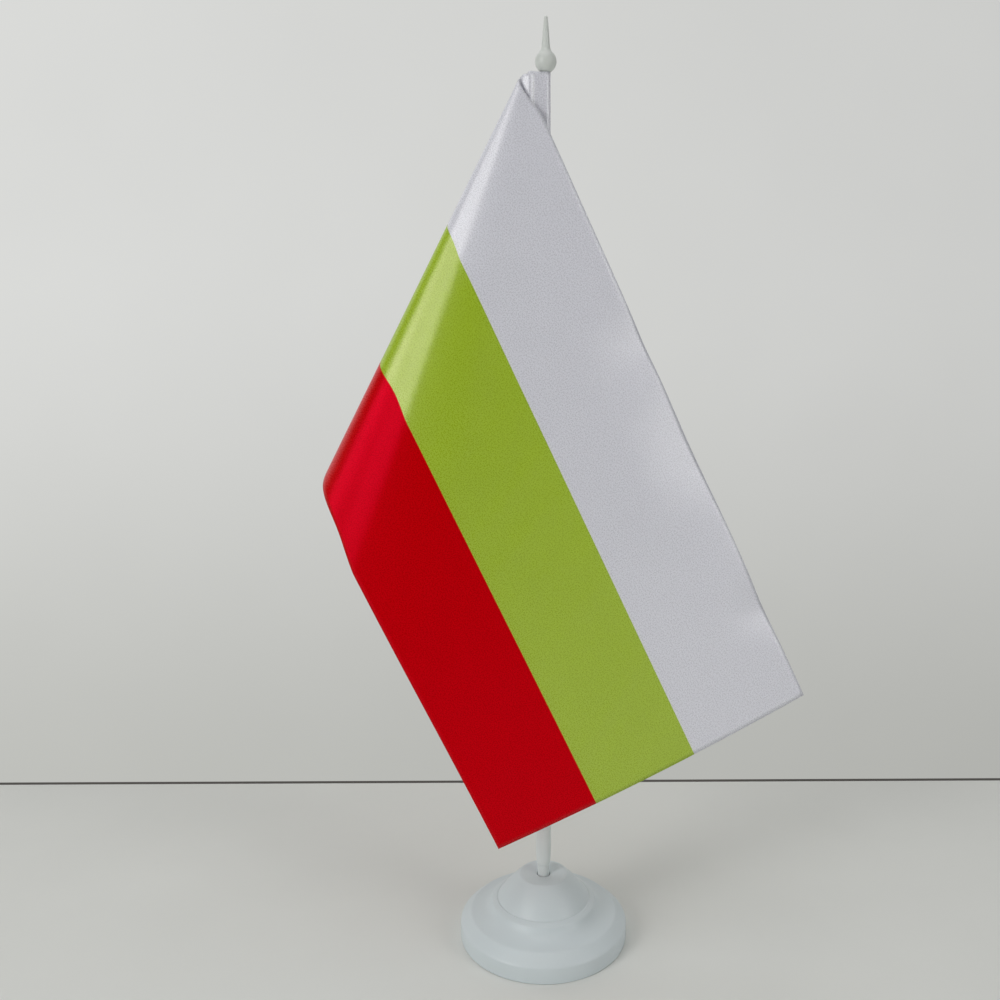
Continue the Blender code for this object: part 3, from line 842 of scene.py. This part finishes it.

# %% [markdown]

# %% [markdown]
# The stand is shown on a plain pale table. A narrow strip painted dark ends the table a
# little way behind it: painted shade for the gap there. Past the gap a plain backdrop runs
# far back and then straight up; it glows with painted light, brighter above and to the
# left, so that nothing distracts from the flag. A broad soft panel overhead gives the
# general light. Two tall soft windows stand in front, one on each side, and the stronger
# left one gives the fold its satin highlight.

# %% Floor and light
def pale(name, colour, second, scale):
    """A dull paint that drifts between two close colours."""
    made, tree, shader = new_material(name)
    place = node(tree, "ShaderNodeTexCoord").outputs["Object"]
    cloud = node(tree, "ShaderNodeTexNoise", {"Vector": place, "Scale": scale, "Detail": 5.0})
    mixed = node(tree, "ShaderNodeMix",
                 {0: cloud.outputs["Fac"], 6: (*colour, 1), 7: (*second, 1)}, data_type="RGBA")
    tree.links.new(mixed.outputs[2], shader.inputs["Base Color"])
    shader.inputs["Roughness"].default_value = 0.75
    shader.inputs["Specular IOR Level"].default_value = 0.2
    return made


FLOOR_BACK = 0.1526       # where the table ends, on the stand's own line
FLOOR_SKEW = 0.0097       # the table stands a little askew to the wall
TABLE_GAP = 0.0032
WALL_Y, WALL_TOP = 2.5, 6.0
TABLE_FRONT, TABLE_HALF, BACKDROP_HALF = -3.0, 3.0, 7.0
GROUND = -0.0001          # just under the stand
# painted light of the glowing backdrop, low down and high up
WALL_GLOW_LOW, WALL_GLOW_HIGH = (0.465, 0.47, 0.445, 1), (0.645, 0.65, 0.635, 1)
WALL_RISE = (-0.52, 0.066)              # steepness of the view, from the low to the high shade
ROOM_LIGHT, ROOM_COLOUR = 0.06, (0.97, 0.99, 1.0, 1)
LAMP_AIM, LAMP_COLOUR = (0, 0, 0.15), (1.0, 0.995, 0.98)
# Name, place, width and height in metres, and power in watts.
LAMPS = (("ceiling", (-0.1, -0.2, 1.5), (1.4, 1.2), 7.2),
         ("left_window", (-1.0, -0.95, 0.6), (0.5, 0.9), 8.6),
         ("right_window", (1.15, -0.8, 0.6), (0.5, 0.9), 5.0))
table_paint = pale("table_paint", (0.79, 0.80, 0.775), (0.74, 0.75, 0.725), 14.0)
# painted shade: a dark strip stands for the shade in the gap behind the table
gap_painted_shade = pale("gap_painted_shade", (0.10, 0.095, 0.09), (0.12, 0.11, 0.10), 30.0)


def painted_glow_wall():
    """The backdrop glows with painted light, brighter above and to the left.

    Its shades follow the direction from where the camera stands, across and upwards, so the
    level part and the upright part read as one even wall.
    """
    made, tree, shader = new_material("wall_painted_glow")
    place = node(tree, "ShaderNodeTexCoord").outputs["Object"]
    seen = node(tree, "ShaderNodeVectorMath", {0: place, 1: CAMERA_PLACE}, operation="SUBTRACT")
    at = node(tree, "ShaderNodeSeparateXYZ", {0: seen.outputs[0]}).outputs
    across = maths(tree, "DIVIDE", at["X"], at["Y"])
    upwards = maths(tree, "DIVIDE", at["Z"], at["Y"])
    spot = node(tree, "ShaderNodeCombineXYZ", {0: across, 1: upwards})
    cloud = node(tree, "ShaderNodeTexNoise", {"Vector": spot.outputs[0], "Scale": 5.5,
                                              "Detail": 4.0})
    rise = node(tree, "ShaderNodeMapRange",
                {"Value": upwards, "From Min": WALL_RISE[0], "From Max": WALL_RISE[1]},
                interpolation_type="SMOOTHSTEP").outputs[0]
    painted_falloff = node(tree, "ShaderNodeMix", {0: rise, 6: WALL_GLOW_LOW, 7: WALL_GLOW_HIGH}, data_type="RGBA")
    # painted falloff across the backdrop, brighter to the left
    side = maths(tree, "MULTIPLY_ADD", across, -0.156, 0.972)
    soft = maths(tree, "MULTIPLY_ADD", cloud.outputs["Fac"], 0.05, side)
    tint = node(tree, "ShaderNodeCombineXYZ", {0: soft, 1: soft, 2: soft})
    glow = node(tree, "ShaderNodeMix", {0: 1.0, 6: painted_falloff.outputs[2], 7: tint.outputs[0]},
                data_type="RGBA", blend_type="MULTIPLY")
    tree.links.new(glow.outputs[2], shader.inputs["Emission Color"])
    shader.inputs["Emission Strength"].default_value = 1.0
    shader.inputs["Base Color"].default_value = (0.02, 0.02, 0.02, 1)
    shader.inputs["Specular IOR Level"].default_value = 0.0
    return made


def strip(name, profile, half, paint):
    """A sheet of the stage: a line of (y, z) points drawn out along X, a little askew."""
    bm = bmesh.new()
    left = [bm.verts.new((-half, y - half * FLOOR_SKEW, z)) for y, z in profile]
    right = [bm.verts.new((half, y + half * FLOOR_SKEW, z)) for y, z in profile]
    for i in range(len(profile) - 1):
        bm.faces.new((left[i], right[i], right[i + 1], left[i + 1]))
    made = finished(name, bm, [paint], normals=False)


table_end, past_gap = (FLOOR_BACK, GROUND), (FLOOR_BACK + TABLE_GAP, GROUND)
strip("table", [(TABLE_FRONT, GROUND), table_end], TABLE_HALF, table_paint)
strip("gap", [table_end, past_gap], TABLE_HALF, gap_painted_shade)
strip("backdrop", [past_gap, (WALL_Y, GROUND), (WALL_Y, WALL_TOP)], BACKDROP_HALF, painted_glow_wall())

world = bpy.data.worlds.new("room")
world.use_nodes = True
world.node_tree.nodes["Background"].inputs["Color"].default_value = ROOM_COLOUR
world.node_tree.nodes["Background"].inputs["Strength"].default_value = ROOM_LIGHT
bpy.context.scene.world = world


def panel_light(name, place, size, power):
    """A soft rectangular lamp, turned towards the flag."""
    lamp = bpy.data.lights.new(name, "AREA")
    lamp.shape = "RECTANGLE"
    lamp.size, lamp.size_y = size
    lamp.energy = power
    lamp.color = LAMP_COLOUR
    made = linked(name, lamp)
    made.location = place
    aim = Vector(LAMP_AIM) - Vector(place)
    made.rotation_euler = aim.to_track_quat("-Z", "Y").to_euler()
    print(name, "of", power, "W")


for lamp_row in LAMPS:
    panel_light(*lamp_row)
